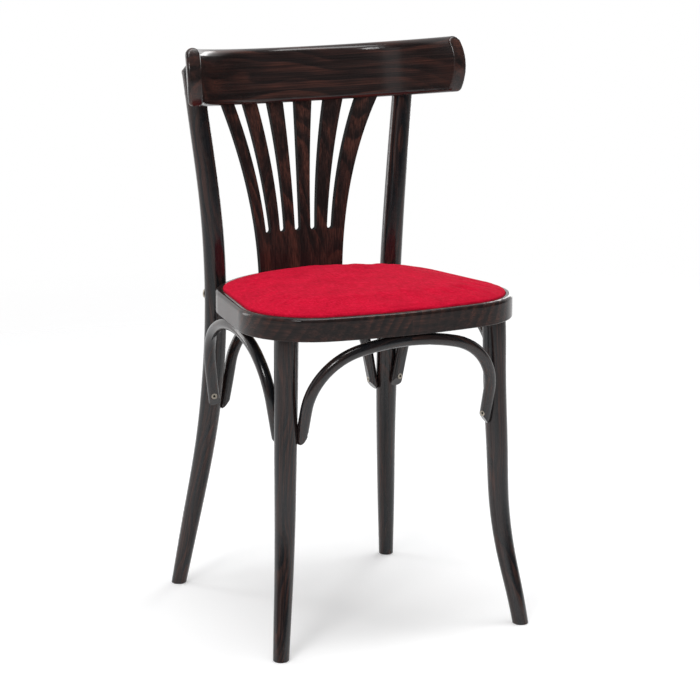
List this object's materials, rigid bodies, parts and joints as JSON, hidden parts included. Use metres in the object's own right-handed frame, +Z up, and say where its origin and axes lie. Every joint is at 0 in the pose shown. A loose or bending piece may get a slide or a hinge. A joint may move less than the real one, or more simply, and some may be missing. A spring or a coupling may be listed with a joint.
{
  "type": "bentwood bistro chair",
  "caption": "Bentwood bistro chair with a fan-shaped slotted back splat, a curved top rail, arched braces under a round-cornered seat ring and an upholstered seat pad.",
  "frame": {"origin": "on the floor, below the middle of the whole chair's width and depth", "axes": "+Z up; the front of the seat faces -Y; +X is the right-hand side for someone who looks at the chair from the front"},
  "size_m": [0.4443, 0.4394, 0.8301],
  "materials": {
    "stained_beech": "dark wenge stain under satin lacquer",
    "plywood": "raw plywood",
    "foam": "matte upholstery foam",
    "seat_fabric": "matte woven red upholstery fabric",
    "screw_metal": "dull yellowish plated steel"
  },
  "bodies": {
    "root": {"seat_ring": "stained_beech", "front_left_leg": "stained_beech", "front_right_leg": "stained_beech", "rear_left_post": "stained_beech", "rear_right_post": "stained_beech", "top_rail": "stained_beech", "back_splat": "stained_beech", "front_arch": "stained_beech", "right_arch": "stained_beech", "rear_arch": "stained_beech", "left_arch": "stained_beech", "seat_panel": "plywood", "seat_foam": "foam", "seat_cover": "seat_fabric", "seat_panel_screws": "screw_metal", "arch_end_screws": "screw_metal", "arch_top_screws": "screw_metal", "rail_screws": "screw_metal", "post_bolts": "screw_metal", "post_bolt_washers": "screw_metal", "post_bolt_nuts": "screw_metal"}
  },
  "joints": []
}
